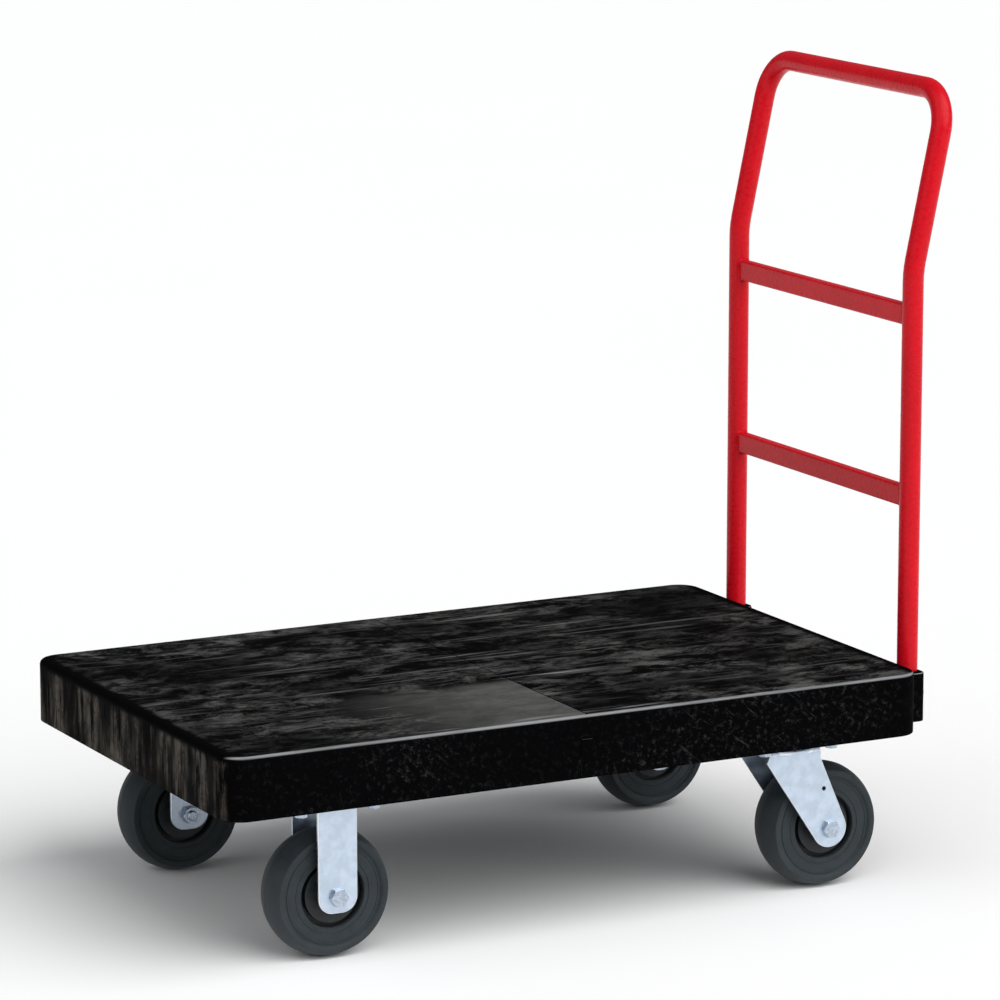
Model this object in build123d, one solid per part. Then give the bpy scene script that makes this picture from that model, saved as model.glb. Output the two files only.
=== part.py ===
"""Flatbed platform truck: moulded deck, bolted push handle, two rigid and two swivel casters.

Frame: origin on the floor under the middle of the whole truck, +X towards the push handle
(the rear), +Y to the right-hand side of a person who pushes, +Z up. Millimetres.
"""
import os
from math import cos, hypot, radians, tan

from build123d import *

# Deck
DECK_LENGTH = 914.4
DECK_WIDTH = 571.5
DECK_DEPTH = 76.2
DECK_CORNER = 30.0
DECK_TOP_WALL = 8.0
DECK_SKIRT_WALL = 7.0
DECK_EDGE_ROUND = 6.0
DECK_FOOT_ROUND = 1.5
RIB_WALL = 5.0
RIB_CELLS_LONG = 9
RIB_CELLS_WIDE = 6
RIB_RECESS = 4.0
SEAM_WIDTH = 1.6
SEAM_DEPTH = 0.8
SIDE_PAD_WIDTH = 16.0
SIDE_PAD_HEIGHT = 44.0
SIDE_PAD_PROUD = 1.0
SIDE_PAD_LIFT = 3.0
SIDE_PAD_ROUND = 2.0

# Push handle
TUBE_DIA = 25.4
TUBE_WALL = 1.65
POST_INSET = 78.75
POST_OFFSET = 26.0
HANDLE_BEND_HEIGHT = 473.0
HANDLE_TOP_HEIGHT = 685.5
HANDLE_RAKE = 12.0
RAKE_BEND_RADIUS = 120.0
GRIP_BEND_RADIUS = 50.0
SWAGE_DIA = 19.05
LOWER_BAR_HEIGHT = 197.5
UPPER_BAR_HEIGHT = 419.0
BAR_HEIGHT = 25.4
BAR_DEPTH = 12.7
BAR_WALL = 1.5
BAR_CORNER = 2.5
WELD_LEG = 2.6

# Handle sockets moulded on the rear end of the deck
SOCKET_WALL = 4.2
SOCKET_WIDTH = 46.0
SOCKET_DROP = 16.0
SOCKET_FLOOR = 6.0
SOCKET_CLEARANCE = 0.3
SOCKET_ROUND = 10.0
SOCKET_TOP_ROUND = 2.0
HANDLE_BOLT_DIA = 7.94
HANDLE_BOLT_DROP = 29.0
HANDLE_BOLT_TAIL = 4.0
HANDLE_WASHER_THICK = 1.6
NUT_RELIEF = 3.0
WASHER_CLEARANCE = 0.4

# Casters
CASTER_HEADROOM = 38.1
CASTER_END_INSET = 152.4
CASTER_SIDE_INSET = 77.55
CASTER_SHIFT = 3.5
PLATE_THICK = 5.0
PLATE_CORNER = 9.0
HOLE_SPACING_X = 92.0
HOLE_SPACING_Y = 73.0
HOLE_EDGE_X = 11.15
HOLE_EDGE_Y = 14.3
CASTER_BOLT_DIA = 9.525
CASTER_BOLT_REACH = 21.0
INSERT_DIA = 14.0
INSERT_LENGTH = 25.0
INSERT_CLEARANCE = 0.05
PLATE_HOLE_CLEARANCE = 0.4
CASTER_WASHER_THICK = 2.2
BOSS_DIA = 26.0
PAD_FRAME_WALL = 6.0
PAD_FRAME_MARGIN = 5.0
SHEET_THICK = 3.5
SHEET_BEND = 6.0
EYE_HOLE_DIA = 5.5
EYE_HOLE_BACK = 9.0
EYE_HOLE_RISE = 51.0

# Rigid horn
RIGID_LEG_WIDTH = 49.5
RIGID_LEG_TAIL = 19.0
RIGID_LEG_ROUND = 18.9
LEG_MARGIN = 1.0
LEG_EDGE_ROUND = 1.0

# Swivel head and yoke
TRAIL = 46.0
KINGPIN_DIA = 12.7
KINGPIN_HEAD_DIA = 24.0
KINGPIN_HEAD = 5.0
SWIVEL_FIT = 0.05
CROWN_DIA = 84.0
CROWN_ROUND = 1.5
YOKE_EYE_R = 23.0
YOKE_REAR = 32.0
YOKE_FRONT = 42.0
YOKE_FRONT_TOP = 37.0
YOKE_SHOULDER = 8.0
CROWN_THICK = 4.0
UPPER_BALL_DIA = 9.5
UPPER_BALL_RING = 27.0
UPPER_BALL_COUNT = 14
UPPER_BALL_GAP = 7.0
LOWER_BALL_DIA = 6.35
LOWER_BALL_RING = 14.0
LOWER_BALL_COUNT = 11
LOWER_BALL_GAP = 4.4
BALL_CLEARANCE = 0.2
RACE_CUP_DIA = 38.0
RACE_CUP_THICK = 3.5
KINGPIN_NUT = 8.0
KINGPIN_TAIL = 1.5

# Wheel and axle
WHEEL_DIA = 152.4
TYRE_WIDTH = 50.8
TREAD_CROWN = 7.2
TYRE_SHOULDER = 6.0
TYRE_FACE_RECESS = 3.4
TYRE_SEAT_DIA = 88.0
TYRE_BEAD_DIA = 80.0
RIM_WIDTH = 32.0
HUB_PROUD = 5.55
HUB_DISC_DIA = 68.0
HUB_DISC_WIDTH = 38.0
HUB_WEB_WIDTH = 20.0
HUB_BARREL_DIA = 40.0
ROLLER_DIA = 4.0
ROLLER_COUNT = 12
ROLLER_LENGTH = 44.0
ROLLER_FIT = 0.05
SLEEVE_DIA = 19.05
AXLE_DIA = 12.7
AXLE_FIT = 0.1
AXLE_HEAD = 6.0
AXLE_FLATS = 19.05
AXLE_NUT = 7.5
AXLE_TAIL = 3.0
THRUST_DIA = 34.0
THRUST_THICK = 1.2
THRUST_CLEARANCE = 0.4

# Places that follow from the sizes above
WHEEL_R = WHEEL_DIA / 2
AXLE_Z = WHEEL_R
CASTER_HEIGHT = WHEEL_DIA + CASTER_HEADROOM
CASTER_X = DECK_LENGTH / 2 - CASTER_END_INSET
CASTER_Y = DECK_WIDTH / 2 - CASTER_SIDE_INSET
PLATE_LENGTH = HOLE_SPACING_X + 2 * HOLE_EDGE_X
PLATE_WIDTH = HOLE_SPACING_Y + 2 * HOLE_EDGE_Y
HUB_LENGTH = TYRE_WIDTH + 2 * HUB_PROUD
LEG_GAP = HUB_LENGTH + 2 * (THRUST_THICK + THRUST_CLEARANCE)
DECK_UNDER = CASTER_HEIGHT
DECK_TOP = DECK_UNDER + DECK_DEPTH
TUBE_R = TUBE_DIA / 2
BEND_Z = DECK_TOP + HANDLE_BEND_HEIGHT
GRIP_Z = DECK_TOP + HANDLE_TOP_HEIGHT
GRIP_REACH = (GRIP_Z - BEND_Z) * tan(radians(HANDLE_RAKE))
HANDLE_OVERHANG = POST_OFFSET + GRIP_REACH + TUBE_R
DECK_X = -HANDLE_OVERHANG / 2
DECK_END_X = DECK_X + DECK_LENGTH / 2
POST_X = DECK_END_X + POST_OFFSET
POST_Y = DECK_WIDTH / 2 - POST_INSET
SOCKET_TOP = DECK_TOP - SOCKET_DROP
SOCKET_BORE_R = SWAGE_DIA / 2 + SOCKET_CLEARANCE
SOCKET_OUT_X = POST_X + SOCKET_BORE_R + SOCKET_WALL
HANDLE_BOLT_Z = SOCKET_TOP - HANDLE_BOLT_DROP
HANDLE_BOLT_FLATS = HANDLE_BOLT_DIA * 1.6
HANDLE_WASHER_DIA = HANDLE_BOLT_FLATS * 1.4
HANDLE_NUT = HANDLE_BOLT_DIA * 0.85
HANDLE_NUT_STACK = HANDLE_WASHER_THICK + HANDLE_NUT + HANDLE_BOLT_TAIL
PLATE_UNDER = CASTER_HEIGHT - PLATE_THICK
CROWN_TOP = PLATE_UNDER - UPPER_BALL_GAP
CROWN_UNDER = CROWN_TOP - CROWN_THICK
CUP_TOP = CROWN_UNDER - LOWER_BALL_GAP
CUP_UNDER = CUP_TOP - RACE_CUP_THICK
LEG_IN = LEG_GAP / 2
LEG_OUT = LEG_IN + SHEET_THICK
HUB_BORE_R = SLEEVE_DIA / 2 + ROLLER_DIA + 2 * ROLLER_FIT

CENTRED = (Align.CENTER, Align.CENTER, Align.CENTER)
UPWARD = (Align.CENTER, Align.CENTER, Align.MIN)
DOWNWARD = (Align.CENTER, Align.CENTER, Align.MAX)
TO_Y = Rot(-90, 0, 0)
TO_X = Rot(0, 90, 0)
SIDES = {"left": -1, "right": 1}
CORNERS = [(x, y) for x in (-1, 1) for y in (-1, 1)]


def save(shape, name):
    """Write one sub-part."""
    export_step(shape, f"parts/{name}.step")


def group(shapes):
    """Separate solids that share one node."""
    return Compound(children=list(shapes))


def ring(outer_dia, inner_dia, height):
    """A plain washer or sleeve that stands on its lower face."""
    return Cylinder(outer_dia / 2, height, align=UPWARD) - Cylinder(inner_dia / 2, height, align=UPWARD)


def hexagon(flats, height):
    """A hexagon that stands on its lower face, with its upper corners chamfered by turning."""
    prism = extrude(RegularPolygon(flats / 2, 6, major_radius=False), height)
    turned_edge = flats * 0.06
    blank = Cylinder(flats / 2 / cos(radians(30)), height, align=UPWARD)
    blank = chamfer(blank.edges().sort_by(Axis.Z)[-1], turned_edge)
    return prism & blank


def bolt(shank_dia, shank_length, flats, head):
    """A hex bolt whose head lies below z = 0 and whose shank runs up from it."""
    shank = Cylinder(shank_dia / 2, shank_length, align=UPWARD)
    shank = chamfer(shank.edges().sort_by(Axis.Z)[-1], shank_dia * 0.1)
    return shank + Rot(180, 0, 0) * hexagon(flats, head)


def nut(shank_dia, flats, height):
    """A hex nut that stands on its lower face."""
    return hexagon(flats, height) - Cylinder(shank_dia / 2, height, align=UPWARD)


def turned(face):
    """A face in the XY plane, x as radius and y as width, turned about the Y axis."""
    return revolve(face, Axis.Y)


def stepped(profile):
    """A body of (diameter, width) steps turned about Y, each step a centred disc."""
    solids = [TO_Y * Cylinder(dia / 2, width, align=CENTRED) for dia, width in profile]
    return Part() + solids


# Deck ---------------------------------------------------------------------------------------

def inner_size():
    """Length and width inside the skirt."""
    return DECK_LENGTH - 2 * DECK_SKIRT_WALL, DECK_WIDTH - 2 * DECK_SKIRT_WALL


def deck_shell():
    """Top panel and skirt."""
    outer = extrude(RectangleRounded(DECK_LENGTH, DECK_WIDTH, DECK_CORNER), DECK_DEPTH)
    outer = fillet(outer.faces().sort_by(Axis.Z)[-1].edges(), DECK_EDGE_ROUND)
    outer = fillet(outer.faces().sort_by(Axis.Z)[0].edges(), DECK_FOOT_ROUND)
    length, width = inner_size()
    plan = RectangleRounded(length, width, DECK_CORNER - DECK_SKIRT_WALL)
    hollow = extrude(plan, DECK_DEPTH - DECK_TOP_WALL)
    return outer - hollow


def rib_places(size, cells):
    """Rib centres that divide a clear size into equal cells."""
    return [size * (i / cells - 0.5) for i in range(1, cells)]


def pad_size():
    """Length and width of the frame under one caster plate."""
    return PLATE_LENGTH + 2 * PAD_FRAME_MARGIN, PLATE_WIDTH + 2 * PAD_FRAME_MARGIN


def deck_ribs():
    """Crossing ribs under the top panel, as plain bars that stop at each other and at the pads."""
    length, width = inner_size()
    height = DECK_DEPTH - DECK_TOP_WALL - RIB_RECESS
    cell = length / RIB_CELLS_LONG
    bars = [Pos(x, 0, RIB_RECESS) * Box(RIB_WALL, width, height, align=UPWARD)
            for x in rib_places(length, RIB_CELLS_LONG)]
    last = RIB_CELLS_LONG - 1
    for y in rib_places(width, RIB_CELLS_WIDE):
        for i in range(RIB_CELLS_LONG):
            start = i * cell - length / 2 + (RIB_WALL / 2 if i > 0 else 0)
            end = (i + 1) * cell - length / 2 - (RIB_WALL / 2 if i < last else 0)
            bar = Box(end - start, RIB_WALL, height, align=UPWARD)
            bars.append(Pos((start + end) / 2, y, RIB_RECESS) * bar)
    pad_block = Box(*pad_size(), DECK_DEPTH, align=UPWARD)
    gaps = [Pos(x, y, 0) * pad_block for x, y in caster_places()]
    gaps += [Pos(-DECK_X, 0, -DECK_UNDER) * relief for relief in nut_reliefs()]
    pieces = [solid for bar in bars for solid in (bar - gaps).solids()]
    return group([Pos(DECK_X, 0, DECK_UNDER) * piece for piece in pieces])


def pad_frame():
    """Walls that a caster plate's rim seats on, centred on the caster."""
    length, width = pad_size()
    height = DECK_DEPTH - DECK_TOP_WALL
    frame = Box(length, width, height, align=UPWARD)
    return frame - Box(length - 2 * PAD_FRAME_WALL, width - 2 * PAD_FRAME_WALL, height, align=UPWARD)


def caster_pads():
    """The four pad frames."""
    return group([Pos(DECK_X + x, y, DECK_UNDER) * pad_frame() for x, y in caster_places()])


def caster_bosses():
    """Bosses inside the pad frames, each bored for its threaded insert."""
    height = DECK_DEPTH - DECK_TOP_WALL
    round_boss = Cylinder(BOSS_DIA / 2, height, align=UPWARD)
    hole = Cylinder(INSERT_DIA / 2 + INSERT_CLEARANCE, INSERT_LENGTH, align=UPWARD)
    frame = pad_frame()
    bosses = [Pos(u, v, 0) * (round_boss - hole) - frame for u, v in bolt_places()]
    return group([Pos(DECK_X + x, y, DECK_UNDER) * boss for x, y in caster_places() for boss in bosses])


def bolt_places():
    """Bolt centres of one caster plate."""
    return [(x * HOLE_SPACING_X / 2, y * HOLE_SPACING_Y / 2) for x, y in CORNERS]


def caster_places():
    """Caster centres in the deck's own frame."""
    return [(x * CASTER_X + CASTER_SHIFT, y * CASTER_Y) for x, y in CORNERS]


def socket_block():
    """Moulded block that takes one handle post, centred on the post in Y."""
    inner_x = DECK_END_X - DECK_SKIRT_WALL
    length = SOCKET_OUT_X - inner_x
    height = SOCKET_TOP - DECK_UNDER
    block = Pos(inner_x, 0, 0) * Box(length, SOCKET_WIDTH, height, align=(Align.MIN, Align.CENTER, Align.MIN))
    block = fillet(block.faces().sort_by(Axis.X)[-1].edges().filter_by(Axis.Z), SOCKET_ROUND)
    return fillet(block.faces().sort_by(Axis.Z)[-1].edges().sort_by(Axis.X)[-3:], SOCKET_TOP_ROUND)


def nut_reliefs():
    """Room for the handle nuts behind the rear skirt."""
    radius = HANDLE_WASHER_DIA / 2 + NUT_RELIEF
    relief = Rot(0, -90, 0) * Cylinder(radius, HANDLE_NUT_STACK + NUT_RELIEF, align=UPWARD)
    x = DECK_END_X - DECK_SKIRT_WALL
    return [Pos(x, side * POST_Y, HANDLE_BOLT_Z) * relief for side in SIDES.values()]


def deck():
    """The moulded deck's shell, with the two handle sockets."""
    body = deck_shell()
    seam = Box(SEAM_WIDTH, DECK_WIDTH, SEAM_DEPTH, align=DOWNWARD)
    body -= Pos(0, 0, DECK_DEPTH) * seam
    side_pad = Box(SIDE_PAD_WIDTH, DECK_SKIRT_WALL + SIDE_PAD_PROUD, SIDE_PAD_HEIGHT, align=CENTRED)
    side_pad = fillet(side_pad.edges().filter_by(Axis.Y), SIDE_PAD_ROUND)
    pad_y = (DECK_WIDTH + SIDE_PAD_PROUD - DECK_SKIRT_WALL) / 2
    body += [Pos(0, side * pad_y, SIDE_PAD_HEIGHT / 2 + SIDE_PAD_LIFT) * side_pad for side in SIDES.values()]
    body = Pos(DECK_X, 0, DECK_UNDER) * body
    block = socket_block()
    body += [Pos(0, side * POST_Y, DECK_UNDER) * block for side in SIDES.values()]
    bore = Cylinder(SOCKET_BORE_R, SOCKET_TOP - DECK_UNDER - SOCKET_FLOOR, align=DOWNWARD)
    cross_length = 2 * (SOCKET_OUT_X - DECK_END_X + DECK_SKIRT_WALL)
    cross = TO_X * Cylinder(HANDLE_BOLT_DIA / 2 + SOCKET_CLEARANCE, cross_length)
    body -= [Pos(POST_X, side * POST_Y, SOCKET_TOP) * bore for side in SIDES.values()]
    body -= [Pos(DECK_END_X, side * POST_Y, HANDLE_BOLT_Z) * cross for side in SIDES.values()]
    return body - nut_reliefs()


# Push handle --------------------------------------------------------------------------------

def handle_path():
    """Centreline of the bent tube, from one socket shoulder to the other."""
    grip_x = POST_X + GRIP_REACH
    points = [(POST_X, -POST_Y, SOCKET_TOP), (POST_X, -POST_Y, BEND_Z), (grip_x, -POST_Y, GRIP_Z),
              (grip_x, POST_Y, GRIP_Z), (POST_X, POST_Y, BEND_Z), (POST_X, POST_Y, SOCKET_TOP)]
    radii = [RAKE_BEND_RADIUS, GRIP_BEND_RADIUS, GRIP_BEND_RADIUS, RAKE_BEND_RADIUS]
    return FilletPolyline(*points, radius=radii)


def swept(radius):
    """A solid rod along the handle's centreline."""
    start = Plane(origin=(POST_X, -POST_Y, SOCKET_TOP), z_dir=(0, 0, 1))
    return sweep(start * Circle(radius), path=handle_path())


def handle_tube():
    """Bent tube with reduced ends that fit the sockets and a shoulder that seats on them."""
    tube = swept(TUBE_R) - swept(TUBE_R - TUBE_WALL)
    end_length = SOCKET_TOP - DECK_UNDER - SOCKET_FLOOR - SOCKET_CLEARANCE
    bore = SWAGE_DIA - 2 * TUBE_WALL
    end = Pos(0, 0, -end_length) * ring(SWAGE_DIA, bore, end_length)
    shoulder = ring(TUBE_DIA, bore, TUBE_WALL)
    hole = TO_X * Cylinder(HANDLE_BOLT_DIA / 2 + SOCKET_CLEARANCE, TUBE_DIA * 2)
    for side in SIDES.values():
        foot = Pos(POST_X, side * POST_Y, SOCKET_TOP)
        tube += [foot * end, foot * shoulder]
        tube -= Pos(POST_X, side * POST_Y, HANDLE_BOLT_Z) * hole
    return tube


def post_rods():
    """Straight rods where the posts run, used to cope the crossbars."""
    rod = Cylinder(TUBE_R, BEND_Z - SOCKET_TOP, align=UPWARD)
    return [Pos(POST_X, side * POST_Y, SOCKET_TOP) * rod for side in SIDES.values()]


def crossbar(height):
    """Rectangular tube coped to both posts."""
    outer = RectangleRounded(BAR_DEPTH, BAR_HEIGHT, BAR_CORNER)
    inner = RectangleRounded(BAR_DEPTH - 2 * BAR_WALL, BAR_HEIGHT - 2 * BAR_WALL, BAR_CORNER - BAR_WALL)
    section = Plane.XZ * (outer - inner)
    bar = extrude(section, POST_Y, both=True)
    return Pos(POST_X, 0, DECK_TOP + height) * bar - post_rods()


def crossbar_welds():
    """A fillet weld round each crossbar end."""
    outline = RectangleRounded(BAR_DEPTH + 2 * WELD_LEG, BAR_HEIGHT + 2 * WELD_LEG, BAR_CORNER + WELD_LEG)
    bar_outline = RectangleRounded(BAR_DEPTH, BAR_HEIGHT, BAR_CORNER)
    reach = TUBE_R + WELD_LEG
    collar = extrude(Plane.XZ * outline, -reach)
    collar = chamfer(collar.faces().sort_by(Axis.Y)[-1].edges(), WELD_LEG * 0.9)
    collar -= extrude(Plane.XZ * bar_outline, -reach * 2)
    collar -= Cylinder(TUBE_R, BAR_HEIGHT * 3)
    beads = []
    for height in (LOWER_BAR_HEIGHT, UPPER_BAR_HEIGHT):
        for turn, side in ((0, -1), (180, 1)):
            beads.append(Pos(POST_X, side * POST_Y, DECK_TOP + height) * Rot(0, 0, turn) * collar)
    return beads


def handle_fasteners():
    """Cross bolts that pin the posts in their sockets, with washers and nuts."""
    inner_x = DECK_END_X - DECK_SKIRT_WALL
    head_x = SOCKET_OUT_X + HANDLE_WASHER_THICK
    length = head_x - inner_x + HANDLE_NUT_STACK
    to_minus_x = Rot(0, -90, 0)
    washer = ring(HANDLE_WASHER_DIA, HANDLE_BOLT_DIA + WASHER_CLEARANCE, HANDLE_WASHER_THICK)
    bolts, washers, nuts = [], [], []
    for side in SIDES.values():
        line = Pos(0, side * POST_Y, HANDLE_BOLT_Z)
        bolts.append(line * Pos(head_x, 0, 0) * to_minus_x
                     * bolt(HANDLE_BOLT_DIA, length, HANDLE_BOLT_FLATS, HANDLE_BOLT_DIA * 0.65))
        washers.append(line * Pos(head_x, 0, 0) * to_minus_x * washer)
        washers.append(line * Pos(inner_x, 0, 0) * to_minus_x * washer)
        nuts.append(line * Pos(inner_x - HANDLE_WASHER_THICK, 0, 0) * to_minus_x
                    * nut(HANDLE_BOLT_DIA, HANDLE_BOLT_FLATS, HANDLE_NUT))
    return group(bolts), group(washers), group(nuts)


# Casters ------------------------------------------------------------------------------------

def plate_blank():
    """Caster top plate with its four bolt holes, its upper face at z = 0."""
    sketch = RectangleRounded(PLATE_LENGTH, PLATE_WIDTH, PLATE_CORNER)
    sketch -= [Pos(x, y) * Circle(CASTER_BOLT_DIA / 2 + PLATE_HOLE_CLEARANCE) for x, y in bolt_places()]
    return extrude(sketch, -PLATE_THICK)


def channel(top, length):
    """Sheet bent into an inverted U that straddles the wheel, centred on X and Y."""
    outer = Pos(0, top / 2) * Rectangle(2 * LEG_OUT, top)
    inner = Pos(0, top / 2 - SHEET_THICK) * Rectangle(2 * LEG_IN, top)
    outer = fillet(outer.vertices().sort_by(Axis.Y)[-2:], SHEET_BEND)
    inner = fillet(inner.vertices().sort_by(Axis.Y)[-2:], SHEET_BEND - SHEET_THICK)
    return extrude(Plane.YZ * (outer - inner), length / 2, both=True)


def axle_bores():
    """Axle holes through both legs."""
    return TO_Y * Cylinder(AXLE_DIA / 2 + AXLE_FIT, 2 * (LEG_OUT + LEG_MARGIN))


def leg_outline(piece, ceiling):
    """Edges round the outer face of each leg, below a height."""
    faces = piece.faces().sort_by(Axis.Y)
    edges = [edge for face in (faces[0], faces[-1]) for edge in face.outer_wire().edges()]
    return [edge for edge in edges if edge.center().Z < ceiling]


def rigid_horn():
    """Horn of a rigid caster: straight legs with rounded ends, axle above the origin."""
    top = PLATE_UNDER
    height = top - AXLE_Z + RIGID_LEG_TAIL
    side = Pos(0, AXLE_Z - RIGID_LEG_TAIL + height / 2) * Rectangle(RIGID_LEG_WIDTH, height)
    side = fillet(side.vertices().sort_by(Axis.Y)[:2], RIGID_LEG_ROUND)
    prism = extrude(Plane.XZ * side, LEG_OUT + LEG_MARGIN, both=True)
    horn = channel(top, RIGID_LEG_WIDTH) & prism
    horn = fillet(leg_outline(horn, top - SHEET_BEND), LEG_EDGE_ROUND)
    return horn - Pos(0, 0, AXLE_Z) * axle_bores()


def yoke_leg_side():
    """Side view of a swivel yoke's leg in (x, z), with the kingpin at x = 0."""
    eye = (TRAIL, AXLE_Z)
    rear_top = (YOKE_REAR, CROWN_TOP)
    rear_shoulder = (YOKE_REAR, CROWN_UNDER - YOKE_SHOULDER)
    front_top = (-YOKE_FRONT_TOP, CROWN_TOP)
    front_shoulder = (-YOKE_FRONT, CROWN_UNDER - YOKE_SHOULDER)
    rear_foot = tangent_point(rear_shoulder, eye, YOKE_EYE_R, -1)
    front_foot = tangent_point(front_shoulder, eye, YOKE_EYE_R, 1)
    low = (eye[0], eye[1] - YOKE_EYE_R)
    outline = [Line(front_top, rear_top), Line(rear_top, rear_shoulder), Line(rear_shoulder, rear_foot),
               ThreePointArc(rear_foot, low, front_foot), Line(front_foot, front_shoulder),
               Line(front_shoulder, front_top)]
    return make_face(outline)


def tangent_point(point, centre, radius, turn):
    """Where a line from the point touches the circle; turn picks the side."""
    dx, dz = centre[0] - point[0], centre[1] - point[1]
    reach = hypot(dx, dz)
    along = (reach ** 2 - radius ** 2) / reach
    aside = turn * radius * (reach ** 2 - radius ** 2) ** 0.5 / reach
    ux, uz = dx / reach, dz / reach
    return point[0] + ux * along + uz * aside, point[1] + uz * along - ux * aside


def swivel_yoke():
    """Round crown with a ball track each side and two legs that trail to the axle."""
    side = yoke_leg_side()
    prism = extrude(Plane.XZ * side, LEG_OUT + LEG_MARGIN, both=True)
    long_channel = Pos(TRAIL / 2, 0, 0) * channel(CROWN_TOP, 2 * CROWN_DIA)
    legs = long_channel & prism
    legs = fillet(leg_outline(legs, CROWN_UNDER - YOKE_SHOULDER), LEG_EDGE_ROUND)
    crown = Pos(0, 0, CROWN_UNDER) * Cylinder(CROWN_DIA / 2, CROWN_THICK, align=UPWARD)
    crown = fillet(crown.edges().sort_by(Axis.Z)[-1], CROWN_ROUND)
    yoke = legs + crown
    yoke -= Cylinder(KINGPIN_DIA / 2 + SWIVEL_FIT, 2 * CASTER_HEIGHT)
    yoke -= Pos(TRAIL, 0, AXLE_Z) * axle_bores()
    yoke -= upper_track()
    yoke -= lower_track()
    eye_hole = TO_Y * Cylinder(EYE_HOLE_DIA / 2, 2 * (LEG_OUT + LEG_MARGIN))
    return yoke - Pos(TRAIL - EYE_HOLE_BACK, 0, AXLE_Z + EYE_HOLE_RISE) * eye_hole


def upper_ball_z():
    """Height of the upper balls' centres."""
    return PLATE_UNDER - UPPER_BALL_GAP / 2


def lower_ball_z():
    """Height of the lower balls' centres."""
    return CROWN_UNDER - LOWER_BALL_GAP / 2


def upper_track():
    """Ring cut out of the plate and the crown for the upper balls."""
    return Pos(0, 0, upper_ball_z()) * Torus(UPPER_BALL_RING, UPPER_BALL_DIA / 2 + BALL_CLEARANCE)


def lower_track():
    """Ring cut out of the crown and the cup for the lower balls."""
    return Pos(0, 0, lower_ball_z()) * Torus(LOWER_BALL_RING, LOWER_BALL_DIA / 2 + BALL_CLEARANCE)


def ball_ring(dia, ring_r, count, z):
    """Balls spaced evenly round the kingpin."""
    step = 360 / count
    return group([Rot(0, 0, i * step) * Pos(ring_r, 0, z) * Sphere(dia / 2) for i in range(count)])


def swivel_plate():
    """Top plate of a swivel caster, with the upper half of the ball track."""
    plate = Pos(0, 0, CASTER_HEIGHT) * plate_blank()
    plate -= upper_track()
    return plate - Pos(0, 0, CASTER_HEIGHT) * Cylinder(KINGPIN_DIA / 2 + SWIVEL_FIT, 4 * PLATE_THICK)


def kingpin():
    """Round-headed pin that hangs the yoke from the plate."""
    length = CASTER_HEIGHT - CUP_UNDER + KINGPIN_NUT + KINGPIN_TAIL
    shank = Cylinder(KINGPIN_DIA / 2, length, align=DOWNWARD)
    shank = chamfer(shank.edges().sort_by(Axis.Z)[0], 1.2)
    head = Cylinder(KINGPIN_HEAD_DIA / 2, KINGPIN_HEAD, align=UPWARD)
    head = fillet(head.edges().sort_by(Axis.Z)[-1], 2.5)
    return Pos(0, 0, CASTER_HEIGHT) * (shank + head)


def race_cup():
    """Lower ball cup, clamped on the kingpin."""
    cup = Pos(0, 0, CUP_UNDER) * ring(RACE_CUP_DIA, KINGPIN_DIA + 2 * SWIVEL_FIT, RACE_CUP_THICK)
    return cup - lower_track()


def swivel_pieces():
    """Everything of the swivel head that sits on the kingpin's axis, by name."""
    return {
        "swivel_plate": swivel_plate(),
        "swivel_yoke": swivel_yoke(),
        "kingpin": kingpin(),
        "kingpin_nut": Pos(0, 0, CUP_UNDER - KINGPIN_NUT) * nut(KINGPIN_DIA, AXLE_FLATS, KINGPIN_NUT),
        "race_cup": race_cup(),
        "upper_balls": ball_ring(UPPER_BALL_DIA, UPPER_BALL_RING, UPPER_BALL_COUNT, upper_ball_z()),
        "lower_balls": ball_ring(LOWER_BALL_DIA, LOWER_BALL_RING, LOWER_BALL_COUNT, lower_ball_z()),
    }


# Wheels -------------------------------------------------------------------------------------

def tyre():
    """Solid rubber tyre with a crowned tread and a raised ring on each side."""
    half = TYRE_WIDTH / 2
    face_half = half - TYRE_FACE_RECESS
    rim_half = RIM_WIDTH / 2
    edge_r = WHEEL_R - TREAD_CROWN
    face_r = edge_r - TYRE_SHOULDER
    seat_r, bead_r = TYRE_SEAT_DIA / 2, TYRE_BEAD_DIA / 2
    outline = [ThreePointArc((edge_r, -half), (WHEEL_R, 0), (edge_r, half))]
    for side in (1, -1):
        outline.append(Line((edge_r, side * half), (face_r, side * (half - 0.6))))
        outline.append(Line((face_r, side * (half - 0.6)), (face_r - 2.5, side * face_half)))
        outline.append(Line((face_r - 2.5, side * face_half), (bead_r, side * face_half)))
        outline.append(Line((bead_r, side * face_half), (bead_r, side * rim_half)))
        outline.append(Line((bead_r, side * rim_half), (seat_r, side * rim_half)))
    outline.append(Line((seat_r, -rim_half), (seat_r, rim_half)))
    return turned(make_face(outline))


def hub():
    """Moulded hub: barrel, faced disc, groove and a rim under the tyre."""
    body = stepped([(HUB_BARREL_DIA, HUB_LENGTH), (HUB_DISC_DIA, HUB_DISC_WIDTH)])
    rim = TO_Y * Cylinder(TYRE_SEAT_DIA / 2, RIM_WIDTH)
    groove = TO_Y * Cylinder(TYRE_BEAD_DIA / 2, RIM_WIDTH + 1)
    body += rim - groove
    body += TO_Y * Cylinder(TYRE_SEAT_DIA / 2, HUB_WEB_WIDTH)
    return body - TO_Y * Cylinder(HUB_BORE_R, HUB_LENGTH + 1)


def rollers():
    """Rollers that run between the hub and the sleeve."""
    ring_r = SLEEVE_DIA / 2 + ROLLER_FIT + ROLLER_DIA / 2
    step = 360 / ROLLER_COUNT
    roller = Cylinder(ROLLER_DIA / 2, ROLLER_LENGTH)
    return TO_Y * group([Rot(0, 0, i * step) * Pos(ring_r, 0, 0) * roller for i in range(ROLLER_COUNT)])


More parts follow.
